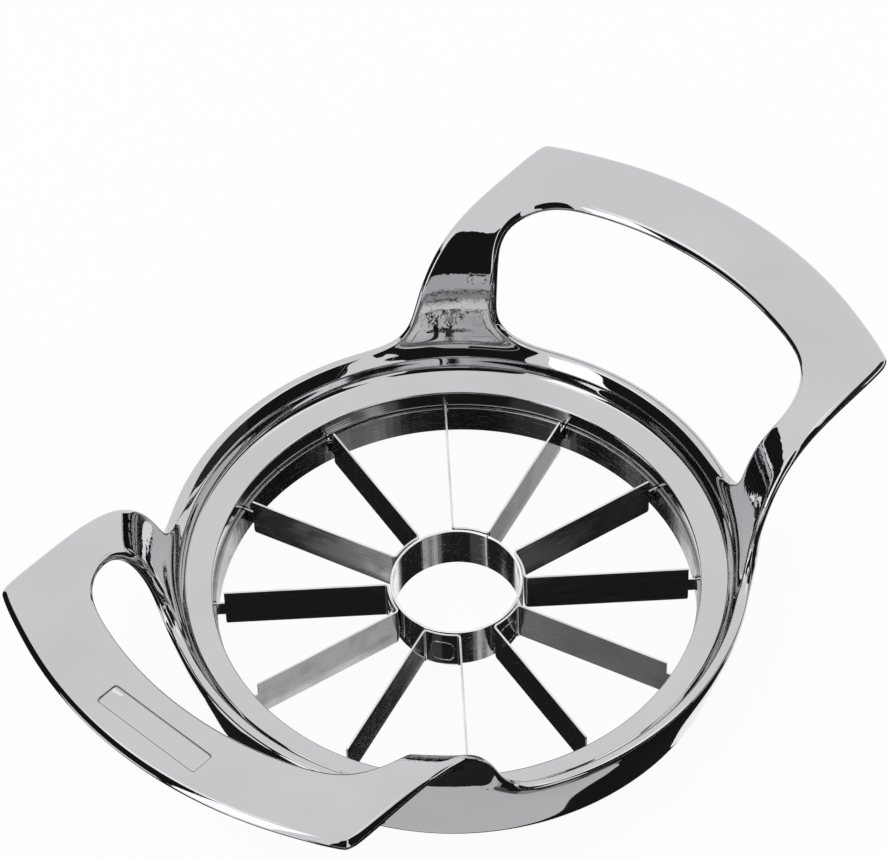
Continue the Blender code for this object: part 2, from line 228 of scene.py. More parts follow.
# The handles flow out of the lip, so a quarter of the casting is one cage, set row by row.
# Smoothing draws a round of points inwards, so each column is first set as much further out.
def frameCage():
    mesh = bmesh.new()
    sharp = mesh.edges.layers.float.new("crease_edge")
    hole, arm = frameSize["holeColumns"], frameSize["armColumns"]
    lip = frameSize["lip"]
    angles = columnAngles()
    before = [-angles[1]] + angles[:-1]
    after = angles[1:] + [180 - angles[-2]]
    columns = []
    for low, angle, high in zip(before, angles, after):
        pull = math.cos(math.radians(angle - low)) + math.cos(math.radians(high - angle))
        swell = 6 / (4 + pull)
        columns.append([
            mesh.verts.new(polar(radius * swell, angle, height) * mm)
            for radius, height in frameSize["section"]
        ])
    count = len(frameSize["section"])
    for number, (here, there) in enumerate(zip(columns, columns[1:])):
        underArm = hole <= number < hole + arm
        for i in range(count):
            j = (i + 1) % count
            if not (underArm and i in lip and j in lip):
                mesh.faces.new((here[i], here[j], there[j], there[i]))
            if i in frameSize["sharp"] and not (underArm and i in lip):
                mesh.edges.get((here[i], there[i]))[sharp] = 1

    arms = [[tuple(column[i] for i in lip) for column in columns[hole : hole + arm + 1]]]
    arms += [handleRow(mesh, place) for place in frameSize["climbRows"]]
    grip = [handleRow(mesh, 1, -1), handleRow(mesh, 1.5), handleRow(mesh, 2, 1)]
    rows = arms + grip
    for low, high in zip(rows, rows[1:]):
        across = high[-len(low) :]
        for i in range(len(low) - 1):
            for layer in (0, 2):
                corners = low[i], low[i + 1], across[i + 1], across[i]
                mesh.faces.new([corner[layer] for corner in corners])
    holeRim = [row[0] for row in arms] + list(reversed(grip[0][: hole + 1]))
    outerRim = [row[-1] for row in rows] + list(reversed(grip[-1][:-1]))
    for rim in (holeRim, outerRim):
        for one, two in zip(rim, rim[1:]):
            mesh.faces.new((one[0], two[0], two[1], one[1]))
            mesh.faces.new((one[1], two[1], two[2], one[2]))
            for layer, share in ((0, 1), (2, frameSize["lowRim"])):
                mesh.edges.get((one[layer], two[layer]))[sharp] = share
    corner = grip[-1][-1]
    for one, two in zip(corner, corner[1:]):
        mesh.edges.get((one, two))[sharp] = frameSize["corner"]
    loose = [vert for vert in mesh.verts if not vert.link_faces]
    bmesh.ops.delete(mesh, geom=loose, context="VERTS")
    bmesh.ops.recalc_face_normals(mesh, faces=mesh.faces)
    data = bpy.data.meshes.new("castFrame")
    mesh.to_mesh(data)
    mesh.free()
    return data


def smoothed(piece, levels):
    modifier = piece.modifiers.new("smoothing", "SUBSURF")
    modifier.levels = levels
    modifier.render_levels = levels


def drawOut(offset):
    bpy.ops.mesh.extrude_region_move(TRANSFORM_OT_translate={"value": offset})


# Turns what is selected round the axis. With no window the operator turns the other way.
def turnSelected(angle):
    bpy.ops.transform.rotate(
        value=-math.radians(angle), orient_axis="Z", center_override=(0, 0, 0)
    )


# Bare panel sunk into the near grip: a slab with rounded corners and drafted sides, sloped as the
# grip is. The walls that it leaves get the second material, a dark metal: painted shade that draws
# its outline.
def cutPanel(piece):
    bend, end = frameSize["bend"], (frameSize["length"], frameSize["height"])
    share = (panelSize["radius"] - bend[0]) / (end[0] - bend[0])
    radius, height = climbPoint(1 + share)
    slope = math.atan2(end[1] - bend[1], end[0] - bend[0])
    deselectAll()
    bpy.ops.mesh.primitive_plane_add(size=1, location=(0, 0, 0))
    slab = bpy.context.object
    bpy.ops.object.mode_set(mode="EDIT")
    bpy.ops.mesh.select_mode(type="VERT")
    bpy.ops.mesh.select_all(action="SELECT")
    bpy.ops.transform.resize(value=(panelSize["width"] * mm, panelSize["length"] * mm, 1))
    segments = panelSize["roundSegments"]
    bpy.ops.mesh.bevel(offset=panelSize["round"] * mm, segments=segments, affect="VERTICES")
    bpy.ops.mesh.select_all(action="SELECT")
    bpy.ops.transform.translate(value=(0, 0, -panelSize["depth"] * mm))
    drawOut((0, 0, panelSize["depth"] * mm))
    draft = 2 * panelSize["draft"]
    wider = [(panelSize[key] + draft) / panelSize[key] for key in ("width", "length")]
    bpy.ops.transform.resize(value=(*wider, 1), center_override=(0, 0, 0))
    drawOut((0, 0, panelSize["overrun"] * mm))
    bpy.ops.transform.resize(value=(*wider, 1), center_override=(0, 0, 0))
    bpy.ops.mesh.select_all(action="SELECT")
    bpy.ops.mesh.normals_make_consistent(inside=False)
    bpy.ops.object.mode_set(mode="OBJECT")
    slab.data.transform(Matrix.Rotation(slope, 4, "Y"))
    slab.data.transform(Matrix.Translation((-radius * mm, 0, height * mm)))
    difference = piece.modifiers.new("panel", "BOOLEAN")
    difference.operation = "DIFFERENCE"
    difference.object = slab
    applyAll(piece)
    bpy.data.objects.remove(slab)
    up = Vector((math.sin(slope), 0, math.cos(slope)))
    along = Vector((-math.cos(slope), 0, math.sin(slope)))
    middle = Vector((-radius * mm, 0, height * mm))
    width, length = (
        (panelSize[key] / 2 + panelSize["draft"]) * mm for key in ("width", "length")
    )
    limits = (width, length, panelSize["wallReach"] * mm)
    for polygon in piece.data.polygons:
        offset = polygon.center - middle
        offsets = (offset.dot(along), offset.y, offset.dot(up))
        near = all(abs(value) < limit for value, limit in zip(offsets, limits))
        # the panel's walls take the dark metal: painted shade
        if near and polygon.normal.dot(up) < panelSize["wallLimit"]:
            polygon.material_index = 1


def makeFrame():
    deselectAll()
    piece = bpy.data.objects.new("castFrame", frameCage())
    bpy.context.scene.collection.objects.link(piece)
    mirror = piece.modifiers.new("four quarters", "MIRROR")
    mirror.use_axis = (True, True, False)
    mirror.merge_threshold = frameSize["mirrorGap"] * mm
    smoothed(piece, frameSize["roughLevels"])
    applyAll(piece)
    bpy.ops.object.mode_set(mode="EDIT")
    bpy.ops.mesh.select_mode(type="EDGE")
    bpy.ops.mesh.select_all(action="DESELECT")
    bpy.ops.mesh.edges_select_sharp(sharpness=math.radians(frameSize["edgeAngle"]))
    bpy.ops.mesh.bevel(
        offset=frameSize["edgeRound"] * mm,
        offset_type="OFFSET",
        segments=1,
        profile=0.5,
        clamp_overlap=True,
    )
    bpy.ops.object.mode_set(mode="OBJECT")
    creases = piece.data.attributes.get("crease_edge")
    if creases:
        piece.data.attributes.remove(creases)
    smoothed(piece, frameSize["fineLevels"])
    applyAll(piece)
    cutPanel(piece)
    activate(piece)
    bpy.ops.object.shade_smooth_by_angle(angle=math.radians(frameSize["smoothAngle"]))
    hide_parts("frame")
    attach(piece, "root")
    print("frame made,", len(piece.data.polygons), "faces")
    return piece


castFrame = makeFrame()


# Headings of the blades, at which the ring has its slots and the welds sit
bladeRow = {"count": 12, "first": 15}


def bladeAngles():
    return [bladeRow["first"] + 360 / bladeRow["count"] * i for i in range(bladeRow["count"])]


# Turned pieces: a rectangle of the wall spun round the axis
ringSize = {
    "steps": 192,
    "roundSegments": 3,
    "seamWidth": 0.3,
    "overrun": 2.0,
    "smoothAngle": 30,
    "core": {"outer": 16.3, "wall": 0.7, "low": 1.0, "high": 13.0, "round": 0.12, "seam": 13.2},
    "retainer": {
        "outer": 60.8,
        "wall": 1.6,
        "low": 0.8,
        "high": 9.1,
        "round": 0.18,
        "seam": 90.8,
        "slotWidth": 1.3,
        "slotLow": 4.6,
    },
}


# A flat rectangle, left open in edit mode. upright turns it about X before it is moved.
def newPlane(name, size, location, upright=0):
    deselectAll()
    bpy.ops.mesh.primitive_plane_add(size=1, location=(0, 0, 0))
    piece = bpy.context.object
    piece.name = name
    piece.data.name = name
    bpy.ops.object.mode_set(mode="EDIT")
    bpy.ops.mesh.select_mode(type="VERT")
    bpy.ops.mesh.select_all(action="SELECT")
    bpy.ops.transform.resize(value=(size[0] * mm, size[1] * mm, 1))
    if upright:
        bpy.ops.transform.rotate(value=upright, orient_axis="X", center_override=(0, 0, 0))
    bpy.ops.transform.translate(value=tuple(value * mm for value in location))
    return piece


def closeMesh():
    bpy.ops.mesh.select_all(action="SELECT")
    bpy.ops.mesh.remove_doubles(threshold=mergeGap)
    bpy.ops.mesh.normals_make_consistent(inside=False)
    bpy.ops.object.mode_set(mode="OBJECT")


def spunRing(name, size):
    outer, wall, low, high = (size[key] for key in ("outer", "wall", "low", "high"))
    place = (outer - wall / 2, 0, (low + high) / 2)
    piece = newPlane(name, (wall, high - low), place, math.pi / 2)
    segments = ringSize["roundSegments"]
    bpy.ops.mesh.bevel(offset=size["round"] * mm, segments=segments, affect="VERTICES")
    bpy.ops.mesh.select_all(action="SELECT")
    steps = ringSize["steps"]
    bpy.ops.mesh.spin(steps=steps, angle=2 * math.pi, center=(0, 0, 0), axis=(0, 0, 1))
    closeMesh()
    return piece


# A bar through the wall at each angle, joined and cut away. It overruns the wall on both sides.
def cutBars(piece, size, angles, width, low):
    deselectAll()
    reach = ringSize["overrun"]
    radius = size["outer"] - size["wall"] / 2
    high = size["high"] + reach
    bars = []
    for angle in angles:
        bpy.ops.mesh.primitive_cube_add(size=1, location=(0, 0, 0))
        bar = bpy.context.object
        bpy.ops.object.mode_set(mode="EDIT")
        bpy.ops.transform.resize(value=(2 * reach * mm, width * mm, (high - low) * mm))
        bpy.ops.transform.translate(value=(radius * mm, 0, (low + high) / 2 * mm))
        turnSelected(angle)
        bpy.ops.object.mode_set(mode="OBJECT")
        bars.append(bar)
    for bar in bars:
        bar.select_set(True)
    if len(bars) > 1:
        bpy.ops.object.join()
    cutter = bpy.context.object
    difference = piece.modifiers.new("bars", "BOOLEAN")
    difference.operation = "DIFFERENCE"
    difference.object = cutter
    applyAll(piece)
    bpy.data.objects.remove(cutter)


# Where a piece takes the place of a CAD node, its normals follow the large flat faces, so that the
# small edge roundings don't bend what the faces mirror.
def finishPiece(piece, node, paint, smoothAngle):
    activate(piece)
    bpy.ops.object.shade_smooth_by_angle(angle=math.radians(smoothAngle))
    piece.data.materials.clear()
    piece.data.materials.append(paint)
    if node:
        flat = piece.modifiers.new("flat faces", "WEIGHTED_NORMAL")
        flat.keep_sharp = True
        applyAll(piece)
        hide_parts(node)
    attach(piece, "root")


def makeRing(name, node, size, paint):
    piece = spunRing(name, size)
    if "slotWidth" in size:
        cutBars(piece, size, bladeAngles(), size["slotWidth"], size["slotLow"])
    low = size["low"] - ringSize["overrun"]
    cutBars(piece, size, [size["seam"]], ringSize["seamWidth"], low)
    finishPiece(piece, node, paint, ringSize["smoothAngle"])


# Blade strips: one upright edge spun round the core ring, bent and drawn out, then mirrored
stripSize = {
    "foot": 16.85,
    "bend": 0.95,
    "spread": 15.0,
    "thickness": 0.5,
    "edgeShare": 0.2,  # of the thickness, left at the cutting edge
    "heights": (1.2, 2.2, 4.9, 9.1, 13.0),  # from the cutting edge up to the top
    "tab": (2, 3),  # the two heights between which the tab is drawn out
    "shoulder": 57.2,
    "cornerCuts": (0.2, 0, 0, 0, 0),
    "tabEnd": 60.75,
    "footSteps": 10,
    "bendSteps": 8,
    "bladeCuts": 10,
    "edgeRound": 0.07,
    "edgeSegments": 2,
    "edgeAngle": 40,
    "edgeMargin": 0.1,
    "smoothAngle": 35,
    "angles": (30, 90, 150, 210, 270, 330),
}


def stripHalf():
    half = math.radians(stripSize["spread"])
    foot, bend = stripSize["foot"], stripSize["bend"]
    centreRadius = foot + bend
    centreAngle = half - math.asin(bend / centreRadius)
    centre = polar(centreRadius * mm, math.degrees(centreAngle), 0)
    heights = stripSize["heights"]
    piece = newPlane("bladeStrip", (1, 1), (foot, 0, heights[0]))
    bpy.ops.mesh.merge(type="CENTER")
    for low, high in zip(heights, heights[1:]):
        drawOut((0, 0, (high - low) * mm))
    bpy.ops.mesh.select_all(action="SELECT")
    steps = stripSize["footSteps"]
    bpy.ops.mesh.spin(steps=steps, angle=-centreAngle, center=(0, 0, 0), axis=(0, 0, 1))
    steps = stripSize["bendSteps"]
    turn = math.pi / 2 + centreAngle - half
    bpy.ops.mesh.spin(steps=steps, angle=turn, center=centre, axis=(0, 0, 1))
    start = centreRadius * math.cos(centreAngle - half)
    along = Vector((math.cos(half), math.sin(half), 0))
    length = stripSize["shoulder"] - start
    cuts = stripSize["bladeCuts"]
    for i in range(cuts):
        drawOut(along * length / cuts * mm)
    bpy.ops.object.mode_set(mode="OBJECT")
    return piece, along


# Cuts the blade's lower corner back and draws out the tab.
def stripEnd(piece, along):
    data = piece.data
    ends = sorted((vert for vert in data.vertices if vert.select), key=lambda vert: vert.co.z)
    for vert, back in zip(ends, stripSize["cornerCuts"]):
        vert.co -= along * back * mm
    for part in (*data.vertices, *data.edges, *data.polygons):
        part.select = False
    for i in stripSize["tab"]:
        ends[i].select = True
    bpy.ops.object.mode_set(mode="EDIT")
    bpy.ops.mesh.select_mode(type="VERT")
    reach = stripSize["tabEnd"] - stripSize["shoulder"]
    drawOut(along * reach * mm)
    bpy.ops.object.mode_set(mode="OBJECT")


def makeStrips(paint):
    strip, along = stripHalf()
    stripEnd(strip, along)
    group = strip.vertex_groups.new(name="full thickness")
    low = (stripSize["heights"][0] + stripSize["edgeMargin"]) * mm
    group.add([vert.index for vert in strip.data.vertices if vert.co.z > low], 1, "REPLACE")
    mirror = strip.modifiers.new("other half", "MIRROR")
    mirror.use_axis = (False, True, False)
    mirror.merge_threshold = mergeGap
    wall = strip.modifiers.new("wall", "SOLIDIFY")
    wall.thickness = stripSize["thickness"] * mm
    wall.offset = 0
    wall.use_even_offset = True
    wall.vertex_group = group.name
    wall.thickness_vertex_group = stripSize["edgeShare"]
    edges = strip.modifiers.new("edges", "BEVEL")
    edges.width = stripSize["edgeRound"] * mm
    edges.segments = stripSize["edgeSegments"]
    edges.limit_method = "ANGLE"
    edges.angle_limit = math.radians(stripSize["edgeAngle"])
    applyAll(strip)
    bpy.ops.object.mode_set(mode="EDIT")
    closeMesh()
    for number, angle in enumerate(stripSize["angles"], start=1):
        piece = strip if number == len(stripSize["angles"]) else strip.copy()
        if piece is not strip:
            piece.data = strip.data.copy()
            bpy.context.scene.collection.objects.link(piece)
        piece.name = f"bladeStrip{number}"
        activate(piece)
        bpy.ops.object.mode_set(mode="EDIT")
        bpy.ops.mesh.select_all(action="SELECT")
        turnSelected(angle)
        bpy.ops.object.mode_set(mode="OBJECT")
        smoothAngle = stripSize["smoothAngle"]
        finishPiece(piece, f"blade_strip_{number}", paint, smoothAngle)


# Spot weld where each blade's tab meets the retaining ring: a small uneven bead
weldSize = {
    "radius": 59.05,
    "height": 8.9,
    "size": (0.55, 0.42, 0.8),
    "aside": 0.55,
    "wobble": 0.35,
    "wobbleTurn": 2.4,
    "slump": 0.5,
    "subdivisions": 3,
    "smoothAngle": 80,
}


def makeWelds(paint):
    for number, angle in enumerate(bladeAngles(), start=1):
        deselectAll()
        subdivisions = weldSize["subdivisions"]
        bpy.ops.mesh.primitive_ico_sphere_add(
            subdivisions=subdivisions, radius=1, location=(0, 0, 0)
        )
        bead = bpy.context.object
        bead.name = f"weldBead{number}"
        bpy.ops.object.mode_set(mode="EDIT")
        bpy.ops.mesh.select_all(action="SELECT")
        wobble = 1 + weldSize["wobble"] * math.sin(number * weldSize["wobbleTurn"])
        bpy.ops.transform.resize(value=tuple(value * wobble * mm for value in weldSize["size"]))
        bpy.ops.mesh.vertices_smooth(factor=weldSize["slump"])
        side = weldSize["aside"] if number % 2 else -weldSize["aside"]
        place = (weldSize["radius"] * mm, side * mm, weldSize["height"] * mm)
        bpy.ops.transform.translate(value=place)
        turnSelected(angle)
        bpy.ops.object.mode_set(mode="OBJECT")
        finishPiece(bead, None, paint, weldSize["smoothAngle"])


# Press mark on each foot: a thin raised loop laid round the foot
markSize = {
    "radius": 17.1,
    "half": 2.9,
    "tall": 3.4,
    "middle": 6.6,
    "bead": 0.13,
    "corner": 0.55,  # how far the round loop is pushed out towards its corners
    "steps": 64,
    "beadSteps": 8,
    "smoothAngle": 60,
}


def makeMarks(paint):
    for number, angle in enumerate(stripSize["angles"], start=1):
        deselectAll()
        bpy.ops.mesh.primitive_torus_add(
            major_segments=markSize["steps"],
            minor_segments=markSize["beadSteps"],
            major_radius=markSize["half"] * mm,
            minor_radius=markSize["bead"] * mm,
            location=(0, 0, 0),
        )
        mark = bpy.context.object
        mark.name = f"pressMark{number}"
        radius, tall = markSize["radius"], markSize["tall"] / markSize["half"]
        turn = math.radians(angle)
        for vert in mark.data.vertices:
            x, y, depth = (value / mm for value in vert.co)
            squared = 1 + markSize["corner"] * (x * y) ** 2 / markSize["half"] ** 4
            lean = turn + x * squared / radius
            height = markSize["middle"] + y * tall * squared
            vert.co = polar((radius + depth) * mm, math.degrees(lean), height * mm)
        activate(mark)
        bpy.ops.object.mode_set(mode="EDIT")
        closeMesh()
        finishPiece(mark, None, paint, markSize["smoothAngle"])


# Metals. Lengths in the textures are millimetres, read from the object's own coordinates.
def mathNode(tree, operation, *values):
    node = tree.nodes.new("ShaderNodeMath")
    node.operation = operation
    for i, value in enumerate(values):
        if isinstance(value, (int, float)):
            node.inputs[i].default_value = value
        else:
            tree.links.new(value, node.inputs[i])
    return node.outputs[0]


def fadeNode(tree, value, ends, results=(0, 1)):
    node = tree.nodes.new("ShaderNodeMapRange")
    node.interpolation_type = "SMOOTHSTEP"
    tree.links.new(value, node.inputs["Value"])
    for name, number in zip(("From Min", "From Max", "To Min", "To Max"), (*ends, *results)):
        node.inputs[name].default_value = number
    return node.outputs["Result"]


def noiseNode(tree, vector, look):
    if "stretch" in look:
        mapping = tree.nodes.new("ShaderNodeMapping")
        mapping.inputs["Scale"].default_value = look["stretch"]
        tree.links.new(vector, mapping.inputs["Vector"])
        vector = mapping.outputs["Vector"]
    node = tree.nodes.new("ShaderNodeTexNoise")
    node.inputs["Scale"].default_value = look["scale"]
    node.inputs["Detail"].default_value = look["detail"]
    tree.links.new(vector, node.inputs["Vector"])
    return node.outputs["Fac"]


# A finish puts out the height of its relief, a roughness and a tone that scales the colour.
def newFinish(name, inputs=()):
    group = bpy.data.node_groups.new(name, "ShaderNodeTree")
    for socket in inputs:
        group.interface.new_socket(socket, in_out="INPUT", socket_type="NodeSocketFloat")
    for socket in ("Height", "Roughness", "Tone"):
        group.interface.new_socket(socket, in_out="OUTPUT", socket_type="NodeSocketFloat")
    return group


def putOut(group, tall, rough, tone):
    output = group.nodes.new("NodeGroupOutput")
    for socket, value in (("Height", tall), ("Roughness", rough), ("Tone", tone)):
        group.links.new(value, output.inputs[socket])
    return group


# The point in millimetres, its distance from the axis, its angle round it and its height
def placeNodes(tree):
    coordinates = tree.nodes.new("ShaderNodeTexCoord")
    scaled = tree.nodes.new("ShaderNodeVectorMath")
    scaled.operation = "SCALE"
    scaled.inputs["Scale"].default_value = 1 / mm
    tree.links.new(coordinates.outputs["Object"], scaled.inputs[0])
    split = tree.nodes.new("ShaderNodeSeparateXYZ")
    tree.links.new(scaled.outputs["Vector"], split.inputs["Vector"])
    x, y, z = (split.outputs[axis] for axis in "XYZ")
    square = mathNode(tree, "MULTIPLY", x, x)
    square = mathNode(tree, "MULTIPLY_ADD", y, y, square)
    radius = mathNode(tree, "SQRT", square)
    around = mathNode(tree, "ARCTAN2", y, x)
    return scaled.outputs["Vector"], radius, around, z


castFinish = {
    "ripple": {"scale": 0.11, "detail": 2.5},
    "rippleDepth": 0.030,
    "wave": {"scale": 0.38, "detail": 2.5},
    "waveDepth": 0.034,
    "armHeights": (24.0, 31.0),  # the ripples come in here
    "gripRadii": (84.0, 91.0),  # and go out here
    "swirl": {"scale": 0.05, "detail": 1.5},
    "swirlDepth": 0.0035,
    "scratch": {"scale": 0.35, "detail": 3.0, "stretch": (0.25, 9.0, 0.25)},
    "scratchEnds": (0.66, 0.70),
    "scratchDepth": -0.0015,
    "scratchRough": 0.10,
    "patch": {"scale": 0.03, "detail": 1.0},
    "patchEnds": (0.5, 0.62),
    "boreRadii": (60.5, 61.0),
    "boreLine": 7.0,
    "boreDepth": 0.004,
    "boreRough": 0.1,
    "grain": {"scale": 2.5, "detail": 2.0},
    "grainEnds": (0.35, 0.7),
    "grainRough": (0.012, 0.035),
    "tone": 0.94,
    "swirlTone": 0.12,
}


# Ripples of the casting on the arms, hairline scratches in patches and the turned lines of the bore
def castFinishGroup():
    group = newFinish("castFinish")
    vector, radius, _, height = placeNodes(group)
    arm = fadeNode(group, height, castFinish["armHeights"])
    inside = fadeNode(group, radius, castFinish["gripRadii"], (1, 0))
    arm = mathNode(group, "MULTIPLY", arm, inside)
    ripple = noiseNode(group, vector, castFinish["ripple"])
    ripple = mathNode(group, "MULTIPLY", ripple, arm)
    wave = noiseNode(group, vector, castFinish["wave"])
    wave = mathNode(group, "MULTIPLY", wave, arm)
    swirl = noiseNode(group, vector, castFinish["swirl"])
    tall = mathNode(group, "MULTIPLY", wave, castFinish["waveDepth"])
    tall = mathNode(group, "MULTIPLY_ADD", ripple, castFinish["rippleDepth"], tall)
    tall = mathNode(group, "MULTIPLY_ADD", swirl, castFinish["swirlDepth"], tall)

    lines = noiseNode(group, vector, castFinish["scratch"])
    patches = noiseNode(group, vector, castFinish["patch"])
    scratch = fadeNode(group, lines, castFinish["scratchEnds"])
    patches = fadeNode(group, patches, castFinish["patchEnds"])
    scratch = mathNode(group, "MULTIPLY", scratch, patches)
    bore = fadeNode(group, radius, castFinish["boreRadii"], (1, 0))
    turned = mathNode(group, "SINE", mathNode(group, "MULTIPLY", height, castFinish["boreLine"]))
    turned = mathNode(group, "MULTIPLY", turned, bore)
    tall = mathNode(group, "MULTIPLY_ADD", turned, castFinish["boreDepth"], tall)
    tall = mathNode(group, "MULTIPLY_ADD", scratch, castFinish["scratchDepth"], tall)

    grain = noiseNode(group, vector, castFinish["grain"])
    rough = fadeNode(group, grain, castFinish["grainEnds"], castFinish["grainRough"])
    rough = mathNode(group, "MULTIPLY_ADD", scratch, castFinish["scratchRough"], rough)
    rough = mathNode(group, "MULTIPLY_ADD", bore, castFinish["boreRough"], rough)
    tone = mathNode(group, "MULTIPLY_ADD", swirl, castFinish["swirlTone"], castFinish["tone"])
    return putOut(group, tall, rough, tone)


brushFinish = {
    "grain": {"scale": 1.6, "detail": 4.0, "stretch": (0.05, 0.9, 4.0)},
    "grainDepth": 0.0012,
    "grainRough": 0.10,
    "grainTone": 0.5,
    "streak": {"scale": 1.6, "detail": 3.0, "stretch": (0.14, 6.0, 2.3)},
    "streakEnds": (0.56, 0.74),
    "wear": {"scale": 0.09, "detail": 4.0},
    "wearEnds": (0.42, 0.66),
    "wearRough": 0.07,
    "wearTone": -0.18,
    "rough": 0.05,
    "tone": 0.80,
}


# Rolling grain, streaks and wear. Grain and streaks are drawn out along the radius and the arc, so
# they run out along the blades and round the rings. Streaks is how much rougher a streak is, and
# Haze is a roughness all over.
def brushedGroup():
    group = newFinish("brushedGrain", ("Streaks", "Haze"))
    entry = group.nodes.new("NodeGroupInput")
    vector, radius, around, height = placeNodes(group)
    rolled = group.nodes.new("ShaderNodeCombineXYZ")
    for axis, value in zip("XYZ", (radius, around, height)):
        group.links.new(value, rolled.inputs[axis])
    grain = noiseNode(group, rolled.outputs["Vector"], brushFinish["grain"])
    streak = noiseNode(group, rolled.outputs["Vector"], brushFinish["streak"])
    streak = fadeNode(group, streak, brushFinish["streakEnds"])
    wear = noiseNode(group, vector, brushFinish["wear"])
    wear = fadeNode(group, wear, brushFinish["wearEnds"])
    tall = mathNode(group, "MULTIPLY", grain, brushFinish["grainDepth"])
    rough = mathNode(group, "MULTIPLY_ADD", grain, brushFinish["grainRough"], brushFinish["rough"])
    rough = mathNode(group, "MULTIPLY_ADD", wear, brushFinish["wearRough"], rough)
    rough = mathNode(group, "MULTIPLY_ADD", streak, entry.outputs["Streaks"], rough)
    rough = mathNode(group, "ADD", rough, entry.outputs["Haze"])
    tone = mathNode(group, "MULTIPLY_ADD", wear, brushFinish["wearTone"], brushFinish["tone"])
    tone = mathNode(group, "MULTIPLY_ADD", grain, brushFinish["grainTone"], tone)
    return putOut(group, tall, rough, tone)


metals = {
    "polishedChrome": {"colour": (0.575, 0.575, 0.592)},
    "ringSteel": {"colour": (0.4, 0.4, 0.407), "anisotropic": 0.6, "Streaks": 0.4, "Haze": 0.1},
    "coreSteel": {"colour": (0.85, 0.85, 0.86), "anisotropic": 0.85, "Streaks": 0.2, "Haze": 0},
    "bladeSteel": {"colour": (0.72, 0.72, 0.73), "anisotropic": 0.6, "Streaks": 0.13, "Haze": 0},
    # painted shade: a dark metal for the panel's walls, which draws the panel's outline
    "panelWallShade": {"colour": (0.2, 0.2, 0.205)},
}


def metalPaint(name, finish):
    look = metals[name]
    material = bpy.data.materials.new(name)
    material.use_nodes = True
    tree = material.node_tree
    shader = tree.nodes["Principled BSDF"]
    shader.inputs["Metallic"].default_value = 1
    surface = tree.nodes.new("ShaderNodeGroup")
    surface.node_tree = finish
    for socket in surface.inputs:
        socket.default_value = look[socket.name]
    tint = tree.nodes.new("ShaderNodeVectorMath")
    tint.operation = "SCALE"
    tint.inputs[0].default_value = look["colour"]
    tree.links.new(surface.outputs["Tone"], tint.inputs["Scale"])
    tree.links.new(tint.outputs["Vector"], shader.inputs["Base Color"])
    tree.links.new(surface.outputs["Roughness"], shader.inputs["Roughness"])
    relief = tree.nodes.new("ShaderNodeBump")
    relief.inputs["Strength"].default_value = 1
    relief.inputs["Distance"].default_value = mm
    tree.links.new(surface.outputs["Height"], relief.inputs["Height"])
    tree.links.new(relief.outputs["Normal"], shader.inputs["Normal"])
    if "anisotropic" in look:
        shader.inputs["Anisotropic"].default_value = look["anisotropic"]
        upright = tree.nodes.new("ShaderNodeCombineXYZ")
        upright.inputs["Z"].default_value = 1
        tree.links.new(upright.outputs["Vector"], shader.inputs["Tangent"])
    return material


castGroup = castFinishGroup()
brushGroup = brushedGroup()
chrome = metalPaint("polishedChrome", castGroup)
ringPaint = metalPaint("ringSteel", brushGroup)
corePaint = metalPaint("coreSteel", brushGroup)
bladePaint = metalPaint("bladeSteel", brushGroup)
castFrame.data.materials.append(chrome)
# second material: the dark metal of painted shade on the panel's walls
castFrame.data.materials.append(metalPaint("panelWallShade", castGroup))
makeRing("retainingRing", "retaining_ring", ringSize["retainer"], ringPaint)
makeRing("coreRing", "core_ring", ringSize["core"], corePaint)
makeStrips(bladePaint)
makeMarks(bladePaint)
makeWelds(bladePaint)
print("rings and blades made")


# Studio: white all round, with black flags and soft boxes out of the picture, which only mirrors
# see. Each has a level and its corners, as headings from straight away from the camera, positive
# to its left, and heights above the horizon.
studio = {
    "heading": 43.8,
    "distance": 2.0,
    "flagSoftness": 2.5,
    "boxSoftness": 3.0,
    "depth": 10.0,
    "cardLift": 0.02,
    "floorSize": 6.0,
    "floorTone": 0.93,
    "floorGlow": 0.94,
}
flags = {
    "leftFlag": (0.012, ((49, -2), (55, 13), (66, 22), (82, 29), (100, 39), (122, 50), (122, -2))),
    "rightFlag": (0.012, ((-101, 2), (-100, 45), (-106, 60), (-124, 64), (-141, 60), (-141, 2))),
    "lowRightFlag": (0.03, ((-70, 16), (-80, 30), (-88, 37), (-101, 42), (-101, 15))),
    "backFlag": (0.012, (
        (153, 2.6), (152, 57), (164, 67), (180, 69), (196, 67), (206, 60), (204, 36), (196, 26),
        (194, 2.6),
    )),
}
softBoxes = {
    "nearStrip": (0.62, ((154, -4), (154, 6), (188, 6), (188, -4))),
    "leftStrip": (1.75, ((121, -2), (121, 50), (142, 50), (142, -2))),
    "leftBank": (1.4, ((84, 40), (88, 68), (112, 72), (126, 60), (122, 51), (100, 40))),
    "rightBank": (1.35, ((-52, 66), (-72, 74), (-104, 75), (-114, 66), (-92, 57), (-66, 57))),
}
